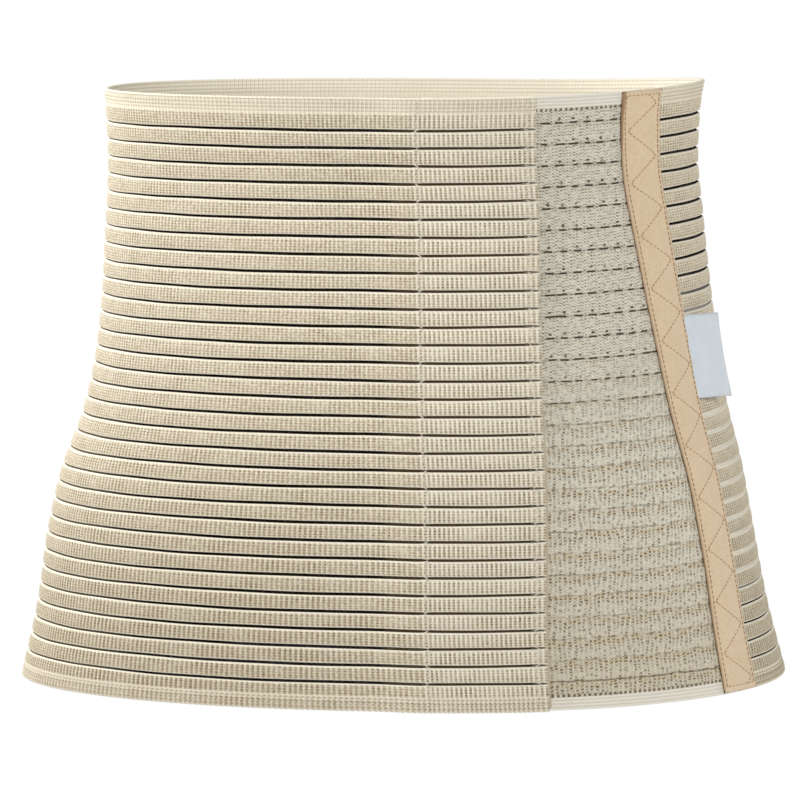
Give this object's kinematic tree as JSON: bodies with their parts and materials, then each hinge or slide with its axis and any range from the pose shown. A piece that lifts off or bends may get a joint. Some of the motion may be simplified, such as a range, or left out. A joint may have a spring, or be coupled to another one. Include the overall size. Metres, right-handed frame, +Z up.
{
  "type": "abdominal binder",
  "caption": "Ribbed elastic wrap worn round the waist and hips, with see-through slits between its ribs, closed at the front by a hook patch on a knit loop panel.",
  "frame": {"origin": "middle of the hollow at the waist, the narrowest level, 30 mm below the top edge", "axes": "+Z up; the belly faces -Y; the seam tape is on the +X side, to the right in a view from the front"},
  "size_m": [0.312, 0.2207, 0.2439],
  "materials": {
    "ribbed_elastic": "matt cream rib weave with fine upright cords",
    "loop_knit": "matt grey-beige brushed knit",
    "hook_tape": "stiff beige hook tape",
    "woven_tape": "soft peach-beige twill tape",
    "label_satin": "bare pale blue-grey satin"
  },
  "bodies": {
    "root": {"elastic_wrap": "ribbed_elastic", "loop_panel": "loop_knit", "hook_patch": "hook_tape", "seam_tape": "woven_tape", "label": "label_satin"}
  },
  "joints": []
}
